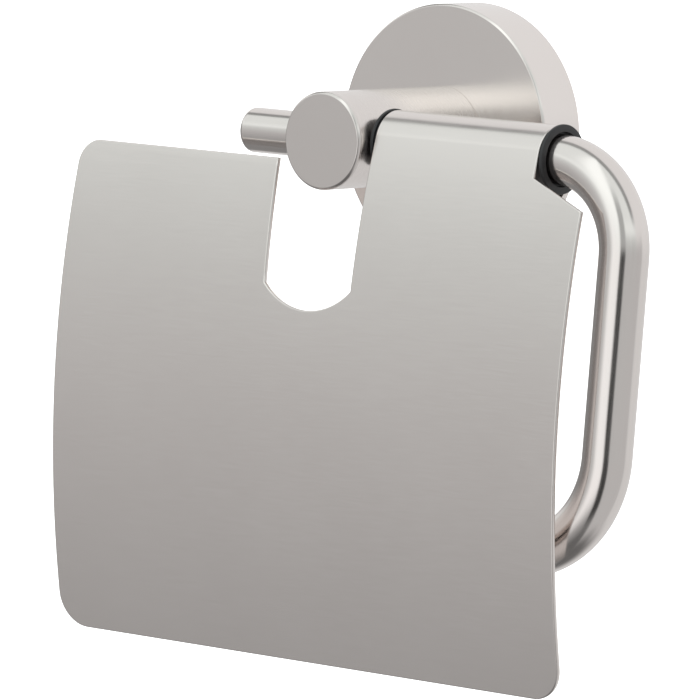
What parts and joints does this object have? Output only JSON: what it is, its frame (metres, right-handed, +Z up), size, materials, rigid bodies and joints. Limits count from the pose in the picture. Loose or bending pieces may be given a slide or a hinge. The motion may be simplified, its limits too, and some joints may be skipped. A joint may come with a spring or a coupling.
{
  "type": "toilet paper holder",
  "caption": "Wall-mounted toilet paper holder: round rosette and post, bent round bar for the roll, and a bowed sheet cover that lifts on the bar.",
  "frame": {"origin": "centre of the rosette on the wall", "axes": "+Z up, +X right for someone facing the wall, -Y out of the wall; the wall is y = 0"},
  "size_m": [0.1439, 0.0553, 0.1337],
  "materials": {
    "satin_steel": "satin",
    "bar_steel": "fine brushed along the bar",
    "cover_steel": "satin",
    "bracket_zinc": "plain zinc plated",
    "screw_steel": "zinc plated",
    "black_nylon": "moulded"
  },
  "bodies": {
    "holder": {"rosette": "satin_steel", "wall_bracket": "bracket_zinc", "rosette_set_screw": "screw_steel", "post": "satin_steel", "post_end_cap": "satin_steel", "post_screw": "screw_steel", "lock_washer": "screw_steel", "holder_bar": "bar_steel", "bar_set_screw": "screw_steel"},
    "lid": {"cover": "cover_steel", "left_bushing": "black_nylon", "right_bushing": "black_nylon"}
  },
  "joints": [
    {"name": "cover_lift", "type": "hinge", "parent": "holder", "child": "lid", "pos_m": [0.03255, -0.0403, 0], "axis": [-1, 0, 0], "range_deg": [-1.5, 190]}
  ]
}
